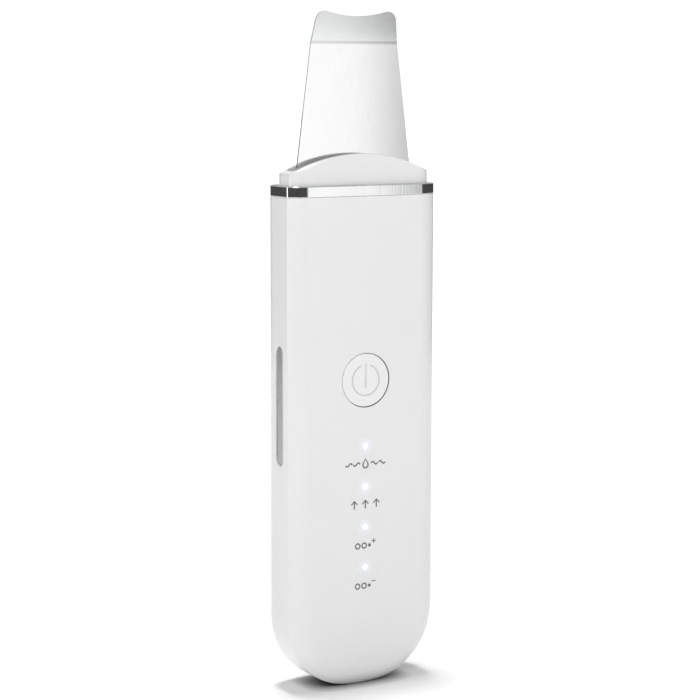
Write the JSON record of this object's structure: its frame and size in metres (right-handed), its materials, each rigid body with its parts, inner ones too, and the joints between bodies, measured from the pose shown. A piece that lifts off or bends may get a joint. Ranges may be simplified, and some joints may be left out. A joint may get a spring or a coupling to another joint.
{
  "type": "ultrasonic skin scrubber",
  "caption": "Slim handheld ultrasonic skin scrubber: flat handle with a round end, chrome ring, arched head and a thin steel spatula blade with a bent tip.",
  "frame": {"origin": "centre of the object's box at its lowest point, under the rounded end of the handle", "axes": "+Z along the handle towards the blade, -Y out of the front face with the button, +X to the right seen from the front"},
  "size_m": [0.0406, 0.0138, 0.163],
  "materials": {
    "shell_white": "glossy white moulded ABS",
    "button_white": "glossy white moulded ABS with a grey printed power mark",
    "ring_chrome": "mirror chrome plating",
    "blade_steel": "polished stainless steel",
    "seal_grey": "grey silicone",
    "silicone_pad": "soft translucent silicone",
    "clamp_metal": "plain stamped steel",
    "screw_steel": "zinc plated",
    "piezo_silver": "silvered ceramic",
    "board_green": "green solder mask",
    "switch_black": "black moulded plastic",
    "plunger_grey": "grey moulded plastic",
    "led_body": "clear resin over white ceramic",
    "light_pipe": "milky polycarbonate, lit from behind",
    "electrode_metal": "satin nickel plating",
    "spring_brass": "spring brass",
    "battery_foil": "laminated foil pouch",
    "foam_black": "closed-cell foam",
    "socket_steel": "plated steel shell",
    "connector_ivory": "ivory nylon",
    "ferrite_black": "dull ferrite",
    "chip_black": "black epoxy",
    "capacitor_tan": "fired ceramic",
    "wire_red": "PVC insulation",
    "wire_blue": "PVC insulation"
  },
  "bodies": {
    "handle": {"front_cover": "shell_white", "rear_cover": "shell_white", "head_cap": "shell_white", "chrome_ring": "ring_chrome", "spatula_blade": "blade_steel", "slot_seal": "seal_grey", "damper_front": "silicone_pad", "damper_rear": "silicone_pad", "clamp_plate": "clamp_metal", "clamp_screws": "screw_steel", "board_screws": "screw_steel", "piezo_disc": "piezo_silver", "main_board": "board_green", "tact_switch": "switch_black", "led_1": "led_body", "led_2": "led_body", "led_3": "led_body", "led_4": "led_body", "light_guide": "light_pipe", "side_electrode_left": "electrode_metal", "side_electrode_right": "electrode_metal", "electrode_spring_left": "spring_brass", "electrode_spring_right": "spring_brass", "battery": "battery_foil", "battery_tape": "foam_black", "battery_pad": "foam_black", "usb_port": "socket_steel", "battery_connector": "connector_ivory", "drive_transformer": "ferrite_black", "power_inductor": "ferrite_black", "controller_chip": "chip_black", "charger_chip": "chip_black", "driver_transistors": "chip_black", "capacitors": "capacitor_tan", "battery_leads": "wire_red", "piezo_leads": "wire_blue"},
    "button": {"power_button": "button_white", "switch_plunger": "plunger_grey"}
  },
  "joints": [
    {"name": "button_press", "type": "slide", "parent": "handle", "child": "button", "axis": [0, 1, 0], "range_m": [0, 0.00025], "stiffness_N_per_m": 4000}
  ]
}
